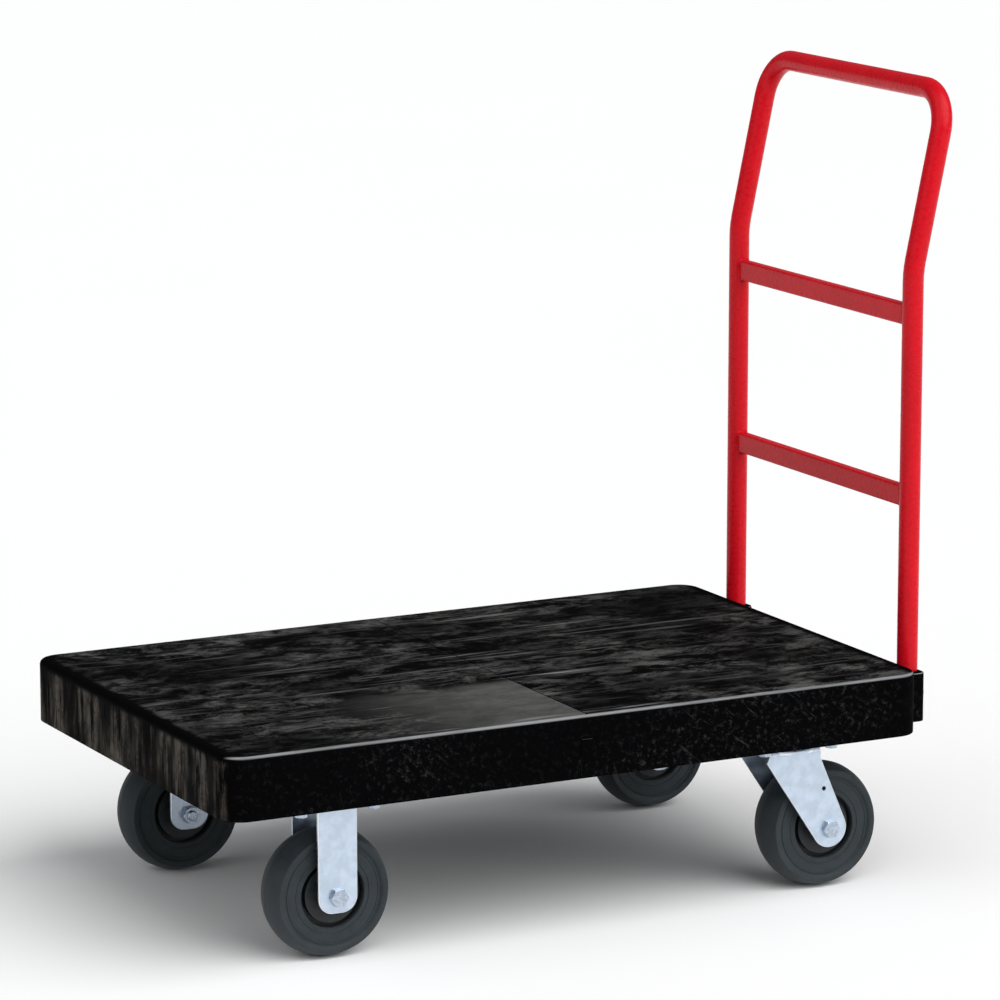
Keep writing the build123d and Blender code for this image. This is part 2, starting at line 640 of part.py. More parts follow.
def thrust_washers():
    """A washer against the inner face of each leg."""
    washer = ring(THRUST_DIA, SLEEVE_DIA + 2 * AXLE_FIT, THRUST_THICK)
    near = Pos(0, -LEG_IN, 0) * TO_Y * washer
    far = Pos(0, LEG_IN - THRUST_THICK, 0) * TO_Y * washer
    return group([near, far])


def axle_bolt():
    """Hex bolt through both legs, its head on the left."""
    length = 2 * LEG_OUT + AXLE_NUT + AXLE_TAIL
    return Pos(0, -LEG_OUT, 0) * TO_Y * bolt(AXLE_DIA, length, AXLE_FLATS, AXLE_HEAD)


def wheel_pieces():
    """Everything on the axle, centred on it, by name."""
    return {
        "tyre": tyre(),
        "hub": hub(),
        "rollers": rollers(),
        "axle_sleeve": Pos(0, -LEG_IN, 0) * TO_Y * ring(SLEEVE_DIA, AXLE_DIA + AXLE_FIT, LEG_GAP),
        "thrust_washers": thrust_washers(),
        "axle_bolt": axle_bolt(),
        "axle_nut": Pos(0, LEG_OUT, 0) * TO_Y * nut(AXLE_DIA, AXLE_FLATS, AXLE_NUT),
    }


def caster_fasteners():
    """Brass inserts in the deck, and the bolts and washers that hold every caster plate."""
    flats = CASTER_BOLT_DIA * 1.5
    washer_thick = CASTER_WASHER_THICK
    reach = PLATE_THICK + washer_thick + CASTER_BOLT_REACH
    screw = bolt(CASTER_BOLT_DIA, reach, flats, CASTER_BOLT_DIA * 0.63)
    washer = ring(CASTER_BOLT_DIA * 1.75, CASTER_BOLT_DIA + WASHER_CLEARANCE, washer_thick)
    insert = ring(INSERT_DIA, CASTER_BOLT_DIA + 2 * INSERT_CLEARANCE, INSERT_LENGTH)
    spots = [(DECK_X + x + u, y + v) for x, y in caster_places() for u, v in bolt_places()]
    seat = PLATE_UNDER - washer_thick
    return {
        "threaded_inserts": group([Pos(x, y, DECK_UNDER) * insert for x, y in spots]),
        "caster_bolts": group([Pos(x, y, seat) * screw for x, y in spots]),
        "caster_washers": group([Pos(x, y, seat) * washer for x, y in spots]),
    }


def main():
    """Write every sub-part at its place."""
    os.makedirs("parts", exist_ok=True)
    save(deck(), "deck")
    save(deck_ribs(), "deck_ribs")
    save(caster_pads(), "caster_pads")
    save(caster_bosses(), "caster_bosses")
    save(handle_tube(), "handle_tube")
    save(crossbar(LOWER_BAR_HEIGHT), "lower_crossbar")
    save(crossbar(UPPER_BAR_HEIGHT), "upper_crossbar")
    save(group(crossbar_welds()), "crossbar_welds")
    bolts, washers, nuts = handle_fasteners()
    save(bolts, "handle_bolts")
    save(washers, "handle_washers")
    save(nuts, "handle_nuts")
    for name, piece in caster_fasteners().items():
        save(piece, name)
    wheel = wheel_pieces()
    swivel = swivel_pieces()
    plate = Pos(0, 0, CASTER_HEIGHT) * plate_blank()
    horn = rigid_horn()
    for side_name, side in SIDES.items():
        heads_outward = Rot(0, 0, 90 + side * 90)
        front = Pos(DECK_X + CASTER_SHIFT - CASTER_X, side * CASTER_Y, 0)
        rear = Pos(DECK_X + CASTER_SHIFT + CASTER_X, side * CASTER_Y, 0)
        save(front * plate, f"rigid_plate_{side_name}")
        save(front * horn, f"rigid_horn_{side_name}")
        for name, piece in swivel.items():
            save(rear * piece, f"{name}_{side_name}")
        for end_name, axle in (("front", front * Pos(0, 0, AXLE_Z)), ("rear", rear * Pos(TRAIL, 0, AXLE_Z))):
            for name, piece in wheel.items():
                save(axle * heads_outward * piece, f"{name}_{end_name}_{side_name}")


main()
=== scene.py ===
from math import cos, hypot, pi, radians, sin, sqrt

import bmesh
import bpy
from bpy.props import FloatProperty, FloatVectorProperty, IntProperty, PointerProperty
from bpy.types import Operator, Panel, PropertyGroup
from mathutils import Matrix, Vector


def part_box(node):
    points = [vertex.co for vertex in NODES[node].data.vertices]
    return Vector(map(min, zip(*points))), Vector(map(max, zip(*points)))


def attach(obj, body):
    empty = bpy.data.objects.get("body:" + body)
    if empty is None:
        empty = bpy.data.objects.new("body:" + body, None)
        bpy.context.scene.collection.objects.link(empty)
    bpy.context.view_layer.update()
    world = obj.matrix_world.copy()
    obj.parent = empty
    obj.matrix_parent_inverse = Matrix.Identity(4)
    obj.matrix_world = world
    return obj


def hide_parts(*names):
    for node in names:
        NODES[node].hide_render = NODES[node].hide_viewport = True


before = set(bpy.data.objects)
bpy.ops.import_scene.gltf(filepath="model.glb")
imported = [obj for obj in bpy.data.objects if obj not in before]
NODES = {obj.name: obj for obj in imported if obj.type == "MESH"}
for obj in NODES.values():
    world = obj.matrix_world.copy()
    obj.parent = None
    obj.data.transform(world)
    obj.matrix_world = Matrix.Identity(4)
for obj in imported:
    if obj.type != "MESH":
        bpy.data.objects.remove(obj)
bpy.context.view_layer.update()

bl_info = {
    "name": "Flatbed platform truck",
    "version": (1, 0, 0),
    "blender": (4, 5, 0),
    "location": "View3D > Sidebar > Truck",
    "description": "Finishes the truck's parts, adds its welds and tyres, and sets the studio",
    "category": "Object",
}

MM = 0.001
SHARP_ANGLE = radians(32)
SIDES = ("left", "right")
WHEELS = [(end, side) for end in ("front", "rear") for side in SIDES]
SEAM_X = sum(corner.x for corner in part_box("deck_ribs")) / 2
DECK_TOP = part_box("deck")[1].z
DECK_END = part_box("deck_ribs")[1].x - SEAM_X
FLOOR_SIZE = 60.0
LAMP_DISTANCE = 4.0
# The camera aims this far right of and above the middle of the deck, seen from the camera.
AIM_RIGHT, AIM_UP = 0.0304, 0.1978
# Angle that each lamp fills in the sky, which sets how soft its shadows are.
SOFTNESS = radians(70)
# The handle is 1 inch tube.
TUBE_RADIUS = 12.7 * MM
BAR_CORNER = 2.5 * MM
BEAD_SIDES = 10
STEPS_PER_RIPPLE = 4


def linear(hex_colour):
    """An sRGB hex colour as linear RGB."""
    parts = [int(hex_colour[i:i + 2], 16) / 255 for i in (1, 3, 5)]
    return tuple(c / 12.92 if c <= 0.04045 else ((c + 0.055) / 1.055) ** 2.4 for c in parts)


def rgba(colour):
    """A colour of three numbers, or a hex one, with full opacity."""
    return (*(linear(colour) if isinstance(colour, str) else colour), 1.0)


def scaled(colour, factor):
    """A darker or lighter version of a colour of three numbers."""
    return tuple(c * factor for c in colour)


def per(mm):
    """The texture scale whose features are this many millimetres."""
    return 1 / (mm * MM)


# Sizes and colours ---------------------------------------------------------------------------

class TruckSizes(PropertyGroup):
    """Sizes of the pieces that are added to the CAD parts, in metres."""
    bead: FloatProperty(name="Weld bead", description="Half width of a weld bead",
                        default=2.2 * MM, min=1 * MM, max=2.6 * MM, unit="LENGTH")
    ripple: FloatProperty(name="Weld ripple", description="Distance between the ripples of a bead",
                          default=1.7 * MM, min=0.8 * MM, max=4 * MM, unit="LENGTH")
    parting: FloatProperty(name="Mould line", description="Height of the line left by the tyre mould",
                           default=0.25 * MM, min=0, max=0.6 * MM, unit="LENGTH")
    ring: FloatProperty(name="Side ring", description="Height of the fine rings on a tyre's side",
                        default=0.7 * MM, min=0, max=1.2 * MM, unit="LENGTH")
    segments: IntProperty(name="Tyre segments", description="Divisions round a tyre",
                          default=160, min=48, max=320)


class TruckColours(PropertyGroup):
    """Main colour of each finish."""
    enamel: FloatVectorProperty(name="Enamel", description="Paint on the handle", subtype="COLOR",
                                default=linear("#D0101F"), min=0, max=1)
    plastic: FloatVectorProperty(name="Deck plastic", description="Unstreaked deck plastic",
                                 subtype="COLOR", default=linear("#030304"), min=0, max=1)
    streak: FloatVectorProperty(name="Deck streaks", description="Palest swirl in the deck plastic",
                                subtype="COLOR", default=linear("#8E8E8C"), min=0, max=1)
    zinc: FloatVectorProperty(name="Zinc", description="Bright zinc plate", subtype="COLOR",
                              default=linear("#CFDDED"), min=0, max=1)
    rubber: FloatVectorProperty(name="Tyre rubber", description="Moulded rubber", subtype="COLOR",
                                default=linear("#252D31"), min=0, max=1)
    hub: FloatVectorProperty(name="Hub plastic", description="Moulded wheel hub", subtype="COLOR",
                             default=linear("#1B2023"), min=0, max=1)
    floor: FloatVectorProperty(name="Floor", description="Studio floor", subtype="COLOR",
                               default=linear("#FCFCFC"), min=0, max=1)


class TruckStudio(PropertyGroup):
    """Camera and lights."""
    azimuth: FloatProperty(name="Azimuth", description="Camera's turn round the truck",
                           default=radians(-27.45), unit="ROTATION")
    elevation: FloatProperty(name="Elevation", description="Camera's tilt above the floor",
                             default=radians(11.40), unit="ROTATION")
    distance: FloatProperty(name="Distance", description="Camera to the point it aims at",
                            default=6.1506, unit="LENGTH")
    lens: FloatProperty(name="Lens", description="Focal length", default=183.7, unit="CAMERA")
    key: FloatProperty(name="Key light", description="Strength of the soft light from the right",
                       default=3.05, min=0, max=20, subtype="FACTOR")
    fill: FloatProperty(name="Fill light", description="Strength of the soft light from the left",
                        default=1.0, min=0, max=20, subtype="FACTOR")
    sky: FloatProperty(name="Surround", description="Brightness of the studio walls",
                       default=0.16, min=0, max=5, subtype="FACTOR")


# Materials -----------------------------------------------------------------------------------

def add(tree, kind, settings=None, links=None):
    """Adds a node. Settings go to its options (lower case) or sockets; links come from outputs."""
    node = tree.nodes.new("ShaderNode" + kind)
    for name, value in (settings or {}).items():
        if isinstance(name, str) and name[0].islower():
            setattr(node, name, value)
        else:
            node.inputs[name].default_value = value
    for name, source in (links or {}).items():
        output = source if isinstance(source, bpy.types.NodeSocket) else source.outputs[0]
        tree.links.new(output, node.inputs[name])
    return node


def blank(name, **shader):
    """A new material, its tree, its shader, and the coordinates fixed to the piece."""
    material = bpy.data.materials.new(name)
    material.use_nodes = True
    tree = material.node_tree
    tree.nodes.clear()
    surface = add(tree, "BsdfPrincipled", shader)
    add(tree, "OutputMaterial", links={"Surface": surface})
    coords = add(tree, "TexCoord").outputs["Object"]
    return material, tree, surface, coords


def grain(tree, coords, mm, detail=3.0, stretch=(1, 1, 1), roughness=0.55, distortion=0.0):
    """Noise with features of this many millimetres, drawn out along the axes given."""
    mapping = add(tree, "Mapping", {"Scale": tuple(per(mm) / s for s in stretch)}, {"Vector": coords})
    settings = {"Scale": 1.0, "Detail": detail, "Roughness": roughness, "Distortion": distortion}
    return add(tree, "TexNoise", settings, {"Vector": mapping})


def span(tree, source, low, high, to_low=0.0, to_high=1.0):
    """Maps a value from one range to another, clamped and eased."""
    return add(tree, "MapRange", {"interpolation_type": "SMOOTHSTEP", "From Min": low, "From Max": high,
                                  "To Min": to_low, "To Max": to_high}, {"Value": source})


def calc(tree, operation, first, second):
    """One arithmetic step on two values, either of which may be a number."""
    node = add(tree, "Math", {"operation": operation})
    for i, item in enumerate((first, second)):
        if isinstance(item, (int, float)):
            node.inputs[i].default_value = item
        else:
            output = item if isinstance(item, bpy.types.NodeSocket) else item.outputs[0]
            tree.links.new(output, node.inputs[i])
    return node.outputs[0]


def blend(tree, factor, first, second):
    """Blends two colours; each is a colour or the output of another blend."""
    node = add(tree, "Mix", {"data_type": "RGBA"}, {0: factor})
    for i, item in ((6, first), (7, second)):
        if isinstance(item, bpy.types.NodeSocket):
            tree.links.new(item, node.inputs[i])
        else:
            node.inputs[i].default_value = rgba(item)
    return node.outputs[2]


def raise_surface(tree, surface, layers):
    """Bump on the shader. Each layer is (height texture, depth in millimetres, strength)."""
    last = None
    for height, depth, strength in layers:
        links = {"Height": height}
        if last:
            links["Normal"] = last
        last = add(tree, "Bump", {"Strength": strength, "Distance": depth * MM}, links)
    tree.links.new(last.outputs[0], surface.inputs["Normal"])


def foam_plastic(colours):
    """Structural-foam polyethylene, moulded: gas swirl shows as pale streaks along the flow."""
    material, tree, surface, coords = blank(
        "structural_foam_polyethylene_moulded", IOR=1.5, **{"Specular IOR Level": 0.02})
    place = add(tree, "SeparateXYZ", links={0: coords})
    normal = add(tree, "SeparateXYZ", links={0: add(tree, "NewGeometry").outputs["Normal"]})
    patch = grain(tree, coords, 120, 3, (1.8, 1, 1))
    mottle = grain(tree, coords, 34, 8, (1.7, 1, 1), 0.80, 0.4)
    swirl = top_swirl(tree, coords, place, normal, mottle, patch)
    bands = end_bands(tree, coords, place, normal, mottle)
    scuffs = side_scuffs(tree, coords, normal, patch)
    rub_and_highlight = rubbed_edge_and_highlight(tree, coords, normal)
    colour = blend(tree, swirl, colours.plastic, colours.streak)
    colour = blend(tree, bands, colour, "#55504B")
    colour = blend(tree, scuffs, colour, "#6A6866")
    # Pale rounded long edges: wear with a painted highlight.
    colour = blend(tree, rub_and_highlight, colour, "#8C8E90")
    tree.links.new(colour, surface.inputs["Base Color"])
    tree.links.new(span(tree, mottle, 0.3, 0.7, 0.72, 0.88).outputs[0], surface.inputs["Roughness"])
    # Moulded foam skin: a 4 mm orange peel over the swirl's own relief.
    raise_surface(tree, surface, [(mottle, 0.4, 0.25), (grain(tree, coords, 4, 2), 0.2, 0.25)])
    return material


def times(tree, *factors):
    """Several values multiplied together."""
    product = factors[0]
    for factor in factors[1:]:
        product = calc(tree, "MULTIPLY", product, factor)
    return product


def size_of(tree, value):
    """A value without its sign."""
    return calc(tree, "ABSOLUTE", value, 0.0)


def top_swirl(tree, coords, place, normal, mottle, patch):
    """How pale the deck's top is: clouds, long streaks by the seam, and one even field."""
    x, y = place.outputs[0], place.outputs[1]
    # The melt flows along the deck from its middle, so streaks are about 9 mm wide and 200 long.
    flow = grain(tree, coords, 9, 5, (22, 1, 2), 0.66, 0.35)
    from_seam = calc(tree, "SUBTRACT", x, SEAM_X)
    middle = span(tree, size_of(tree, from_seam), 0.08, 0.44, 1.0, 0.35)
    lanes = span(tree, grain(tree, coords, 70, 2, (5, 1, 1)), 0.42, 0.60)
    streaks = times(tree, span(tree, flow, 0.50, 0.80), middle, lanes)
    clouds = times(tree, span(tree, mottle, 0.44, 0.66), span(tree, patch, 0.36, 0.62, 0.15, 1.0))
    # One quarter of the top holds an even, paler field that fades away from the seam and ends sharply at
    # it.
    before_seam = span(tree, from_seam, -0.0006, 0.0, 1.0, 0.0)
    fade = span(tree, calc(tree, "SUBTRACT", SEAM_X, x), 0.02, 0.30, 1.0, 0.0)
    wander = calc(tree, "MULTIPLY", calc(tree, "SUBTRACT", patch, 0.5), 0.12)
    near_side = span(tree, calc(tree, "ADD", y, wander), -0.115, -0.080, 1.0, 0.0)
    field = times(tree, before_seam, fade, near_side, span(tree, mottle, 0.3, 0.7, 0.20, 0.40))
    pale = calc(tree, "MAXIMUM", streaks, times(tree, clouds, 0.36))
    pale = calc(tree, "MAXIMUM", pale, field)
    # The swirl stops about 12 mm short of the two ends, so the rounded end edges stay dark.
    to_end = calc(tree, "SUBTRACT", DECK_END, size_of(tree, from_seam))
    inside = span(tree, calc(tree, "ADD", to_end, calc(tree, "MULTIPLY", mottle, 0.02)), 0.014, 0.024)
    return times(tree, pale, inside, span(tree, normal.outputs[2], 0.75, 0.97))


def end_bands(tree, coords, place, normal, mottle):
    """How pale the end skirts are: they filled upward, in uneven upright bands 10 to 40 mm wide."""
    broad = grain(tree, coords, 46, 3, (1, 1, 5), 0.62)
    thin = grain(tree, coords, 14, 5, (1, 1, 8), 0.72, 0.2)
    end_face = span(tree, size_of(tree, normal.outputs[0]), 0.75, 0.98)
    # The bands stop 5 to 12 mm below the top, so the rounded end edge stays dark.
    below_edge = span(tree, place.outputs[2], DECK_TOP - 0.012, DECK_TOP - 0.005, 1.0, 0.0)
    return times(tree, span(tree, broad, 0.40, 0.58, 0.10, 1.0), span(tree, thin, 0.38, 0.54),
                 span(tree, mottle, 0.36, 0.60, 0.25, 1.0), end_face, below_edge)


def side_scuffs(tree, coords, normal, patch):
    """How pale the long skirts are: nearly black, with faint slanting scuffs and specks."""
    turned = add(tree, "Mapping", {"Rotation": (0, radians(-38), 0)}, {"Vector": coords})
    scuff = grain(tree, turned.outputs[0], 5, 4, (7, 1, 1), 0.7, 0.4)
    speck = grain(tree, coords, 7, 6, (1, 1, 1), 0.8)
    long_face = span(tree, size_of(tree, normal.outputs[1]), 0.6, 0.9)
    lines = times(tree, span(tree, scuff, 0.58, 0.76), span(tree, patch, 0.46, 0.62), 0.20)
    specks = times(tree, span(tree, speck, 0.52, 0.68), span(tree, patch, 0.40, 0.62, 0.2, 1.0), 0.17)
    return times(tree, calc(tree, "MAXIMUM", lines, specks), long_face)


def rubbed_edge_and_highlight(tree, coords, normal):
    """How pale the rounded top edge is along the long sides: worn where loads are slid on, and paler still
    with a painted highlight where the rounding catches the light.
    """
    up = normal.outputs[2]
    rounding = times(tree, span(tree, up, 0.30, 0.62), span(tree, up, 0.80, 0.97, 1.0, 0.0))
    along = grain(tree, coords, 10, 4, (12, 1, 1), 0.6)
    return times(tree, rounding, span(tree, size_of(tree, normal.outputs[1]), 0.3, 0.6),
                 span(tree, along, 0.35, 0.6, 0.45, 0.9))


def enamel(colours):
    """Baked gloss enamel on steel tube, sprayed: even red with a soft, slightly rippled shine."""
    material, tree, surface, coords = blank(
        "baked_enamel_sprayed", IOR=1.5,
        **{"Specular IOR Level": 0.14})
    flow = grain(tree, coords, 45, 4, (1, 1, 3))
    fade = grain(tree, coords, 6, 3)
    shade = calc(tree, "ADD", calc(tree, "MULTIPLY", span(tree, flow, 0.35, 0.65), 0.55),
                 calc(tree, "MULTIPLY", span(tree, fade, 0.35, 0.65), 0.45))
    colour = blend(tree, shade, scaled(colours.enamel, 0.86), scaled(colours.enamel, 1.0))
    tree.links.new(colour, surface.inputs["Base Color"])
    tree.links.new(span(tree, fade, 0.3, 0.7, 0.24, 0.34).outputs[0], surface.inputs["Roughness"])
    # Orange peel is about 1 mm across; it is drawn at 2.5 mm so that it shows.
    raise_surface(tree, surface, [(grain(tree, coords, 2.5, 2), 0.05, 0.20)])
    return material


def zinc_sheet(colours):
    """Bright zinc plate on pressed steel sheet: blue-white, faintly cloudy, with fine die marks."""
    material, tree, surface, coords = blank("bright_zinc_plate_on_pressed_steel", Metallic=1.0)
    cloud = grain(tree, coords, 12, 4)
    marks = grain(tree, coords, 0.9, 3, (1, 1, 30))
    colour = blend(tree, span(tree, cloud, 0.35, 0.65), scaled(colours.zinc, 0.86),
                   scaled(colours.zinc, 1.0))
    # Painted highlight: the rounded edges of the legs are drawn nearly white where they turn from the
    # faces.
    facing = add(tree, "SeparateXYZ", links={0: coords.node.outputs["Normal"]})
    lean = size_of(tree, facing.outputs[1])
    rim_highlight = times(tree, span(tree, lean, 0.10, 0.40), span(tree, lean, 0.92, 0.99, 1.0, 0.0))
    colour = blend(tree, rim_highlight, colour, "#FAFCFF")
    tree.links.new(colour, surface.inputs["Base Color"])
    rough = calc(tree, "ADD", span(tree, cloud, 0.3, 0.7, 0.30, 0.42),
                 span(tree, marks, 0.3, 0.7, 0.0, 0.08))
    tree.links.new(rough, surface.inputs["Roughness"])
    raise_surface(tree, surface, [(cloud, 0.08, 0.3), (marks, 0.03, 0.3)])
    return material


def zinc_hardware(colours):
    """Bright zinc plate on cold-headed steel: a little greyer than the sheet, with turned marks."""
    material, tree, surface, coords = blank("bright_zinc_plate_on_headed_steel", Metallic=1.0)
    cloud = grain(tree, coords, 3, 4)
    colour = blend(tree, span(tree, cloud, 0.35, 0.65), scaled(colours.zinc, 0.62),
                   scaled(colours.zinc, 0.86))
    tree.links.new(colour, surface.inputs["Base Color"])
    tree.links.new(span(tree, cloud, 0.3, 0.7, 0.22, 0.38).outputs[0], surface.inputs["Roughness"])
    raise_surface(tree, surface, [(grain(tree, coords, 0.8, 2), 0.03, 0.4)])
    return material


def ground_steel():
    """Hardened bearing steel, ground: a clean grey mirror with a faint film of grease."""
    material, tree, surface, coords = blank("hardened_steel_ground", Metallic=1.0)
    film = grain(tree, coords, 5, 4)
    colour = blend(tree, span(tree, film, 0.35, 0.7), "#C3C5C8", "#8F8C84")
    tree.links.new(colour, surface.inputs["Base Color"])
    tree.links.new(span(tree, film, 0.35, 0.7, 0.12, 0.36).outputs[0], surface.inputs["Roughness"])
    raise_surface(tree, surface, [(grain(tree, coords, 0.7, 2), 0.01, 0.4)])
    return material


def turned_brass():
    """Free-cutting brass, turned: yellow, with tool marks and a little tarnish."""
    material, tree, surface, coords = blank("brass_turned", Metallic=1.0)
    film = grain(tree, coords, 3, 4)
    colour = blend(tree, span(tree, film, 0.35, 0.7), "#D9BE76", "#9C7E3F")
    tree.links.new(colour, surface.inputs["Base Color"])
    tree.links.new(span(tree, film, 0.35, 0.7, 0.25, 0.45).outputs[0], surface.inputs["Roughness"])
    raise_surface(tree, surface, [(grain(tree, coords, 0.7, 1, (6, 6, 1)), 0.03, 0.4)])
    return material


def tyre_rubber(colours):
    """Carbon-filled rubber, moulded: dull slate grey with a dusty bloom and rolling scuffs."""
    material, tree, surface, coords = blank(
        "black_rubber_moulded", IOR=1.52, **{"Specular IOR Level": 0.30, "Sheen Weight": 0.08,
                                              "Sheen Roughness": 0.5})
    bloom = grain(tree, coords, 18, 5)
    dust = grain(tree, coords, 2.5, 4)
    shade = calc(tree, "ADD", calc(tree, "MULTIPLY", span(tree, bloom, 0.35, 0.65), 0.6),
                 calc(tree, "MULTIPLY", span(tree, dust, 0.4, 0.7), 0.4))
    colour = blend(tree, shade, scaled(colours.rubber, 0.72), scaled(colours.rubber, 1.25))
    tree.links.new(colour, surface.inputs["Base Color"])
    tree.links.new(span(tree, bloom, 0.3, 0.7, 0.56, 0.72).outputs[0], surface.inputs["Roughness"])
    # The mould's blasted finish is near 0.3 mm; it is drawn at 1.2 mm so that it shows.
    raise_surface(tree, surface, [(bloom, 0.3, 0.12), (grain(tree, coords, 1.2, 2), 0.06, 0.35)])
    return material


def hub_plastic(colours):
    """Glass-filled nylon, moulded: dark grey, slightly glossier than the tyre, faintly mottled."""
    material, tree, surface, coords = blank(
        "glass_filled_nylon_moulded", IOR=1.53, **{"Specular IOR Level": 0.35})
    mottle = grain(tree, coords, 5, 5)
    colour = blend(tree, span(tree, mottle, 0.35, 0.7), scaled(colours.hub, 0.75),
                   scaled(colours.hub, 1.5))
    tree.links.new(colour, surface.inputs["Base Color"])
    tree.links.new(span(tree, mottle, 0.3, 0.7, 0.42, 0.56).outputs[0], surface.inputs["Roughness"])
    raise_surface(tree, surface, [(grain(tree, coords, 1.0, 3), 0.05, 0.35)])
    return material


def studio_floor(colours):
    """Seamless paper on the floor, calendered: matte off-white with hardly any grain."""
    material, tree, surface, coords = blank(
        "seamless_paper_calendered", IOR=1.45, Roughness=0.9, **{"Specular IOR Level": 0.1})
    fibre = grain(tree, coords, 900, 3)
    colour = blend(tree, fibre, scaled(colours.floor, 0.985), scaled(colours.floor, 1.0))
    tree.links.new(colour, surface.inputs["Base Color"])
    raise_surface(tree, surface, [(grain(tree, coords, 6, 2), 0.05, 0.1)])
    return material


def finish(piece, material):
    """Puts one material on a piece and shades it smooth up to its real edges."""
    mesh = piece.data
    mesh.materials.clear()
    mesh.materials.append(material)
    mesh.polygons.foreach_set("use_smooth", [True] * len(mesh.polygons))
    mesh.set_sharp_from_angle(angle=SHARP_ANGLE)


def finish_nodes(names, material):
    """Finishes CAD nodes that keep their own shape."""
    missing = [name for name in names if name not in NODES]
    if missing:
        raise RuntimeError(f"no CAD node named {missing}")
    for name in names:
        finish(NODES[name], material)


def new_piece(name, mesh_source, material, body, slot, *nodes):
    """Links a new piece that rides on a body and stands for CAD nodes."""
    mesh = bpy.data.meshes.new(name)
    bmesh.ops.recalc_face_normals(mesh_source, faces=mesh_source.faces)
    mesh_source.to_mesh(mesh)
    mesh_source.free()
    piece = bpy.data.objects.new(name, mesh)
    bpy.context.scene.collection.objects.link(piece)
    finish(piece, material)
    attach(piece, body)
    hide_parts(*nodes)
    return piece


# Shapes --------------------------------------------------------------------------------------

def loft(rings):
    """A bmesh skin over rings of points, each ring closed, and the last joined to the first."""
    skin = bmesh.new()
    rows = [[skin.verts.new(point) for point in ring] for ring in rings]
    count = len(rows)
    for i in range(count):
        here, after = rows[i], rows[(i + 1) % count]
        for j in range(len(here)):
            k = (j + 1) % len(here)
            skin.faces.new((here[j], here[k], after[k], after[j]))
    return skin


def arc_points(centre, radius, start, end, steps):
    """Points on an arc in a flat plane, both ends included."""
    angles = [start + (end - start) * i / steps for i in range(steps + 1)]
    return [(centre[0] + radius * cos(a), centre[1] + radius * sin(a)) for a in angles]


SHOULDER_DROP = 7.2 * MM
FACE_DROP = 13.2 * MM
FACE_INSET = 3.4 * MM
RIM_HALF = 16 * MM
LIP_RADIUS = 40 * MM
SEAT_RADIUS = 44 * MM
RING_RADII = (58 * MM, 46.5 * MM)
TREAD_STEPS = 10


def tyre_outline(outer, half, sizes):
    """A tyre's closed section as (radius, across), from the CAD tyre's sizes."""
    shoulder, face = outer - SHOULDER_DROP, outer - FACE_DROP
    face_half = half - FACE_INSET
    crown = (half ** 2 + SHOULDER_DROP ** 2) / (2 * SHOULDER_DROP)

    def tread(across):
        return sqrt(crown ** 2 - across ** 2) - crown + outer

    right = [(outer - sizes.parting, 0.35 * MM)]
    right += [(tread(half * i / TREAD_STEPS) - sizes.parting, half * i / TREAD_STEPS)
              for i in range(1, TREAD_STEPS)]
    right += [(shoulder + 0.25 * MM, half - 0.55 * MM), (shoulder - 0.7 * MM, half),
              (face + 1 * MM, half - 0.4 * MM), (face - 0.4 * MM, half - 0.9 * MM),
              (face - 2.5 * MM, face_half)]
    for ring in RING_RADII:
        right += [(ring + 0.9 * MM, face_half), (ring + 0.45 * MM, face_half + sizes.ring),
                  (ring - 0.45 * MM, face_half + sizes.ring), (ring - 0.9 * MM, face_half)]
    right += [(LIP_RADIUS + 0.6 * MM, face_half), (LIP_RADIUS, face_half - 0.6 * MM),
              (LIP_RADIUS, RIM_HALF), (SEAT_RADIUS, RIM_HALF)]
    left = [(radius, -across) for radius, across in reversed(right)]
    return left + [(outer, 0.0)] + right


def tyre_mesh(centre, outer, half, sizes):
    """A solid tyre turned about Y, with a mould line round the tread and rings on its sides."""
    section = tyre_outline(outer, half, sizes)
    rings = []
    for i in range(sizes.segments):
        angle = 2 * pi * i / sizes.segments
        rings.append([(centre.x + r * cos(angle), centre.y + across, centre.z + r * sin(angle))
                      for r, across in section])
    return loft(rings)


def bar_outline(depth, height, corner, steps=5):
    """Points round a crossbar's rounded section as (x, z), evenly enough for a bead."""
    points = []
    for quarter, (side_x, side_z) in enumerate(((1, 1), (-1, 1), (-1, -1), (1, -1))):
        middle = (side_x * (depth / 2 - corner), side_z * (height / 2 - corner))
        start = quarter * pi / 2
        points += arc_points(middle, corner, start, start + pi / 2, steps)
    return points


def even_points(points, gap):
    """The same closed line with points about this far apart."""
    loop = points + points[:1]
    lengths = [hypot(b[0] - a[0], b[1] - a[1]) for a, b in zip(loop, loop[1:])]
    count = max(int(round(sum(lengths) / gap)), 12)
    total, out, i = 0.0, [], 0
    for k in range(count):
        wanted = sum(lengths) * k / count
        while total + lengths[i] < wanted:
            total += lengths[i]
            i += 1
        share = (wanted - total) / lengths[i] if lengths[i] else 0
        a, b = loop[i], loop[i + 1]
        out.append((a[0] + (b[0] - a[0]) * share, a[1] + (b[1] - a[1]) * share))
    return out


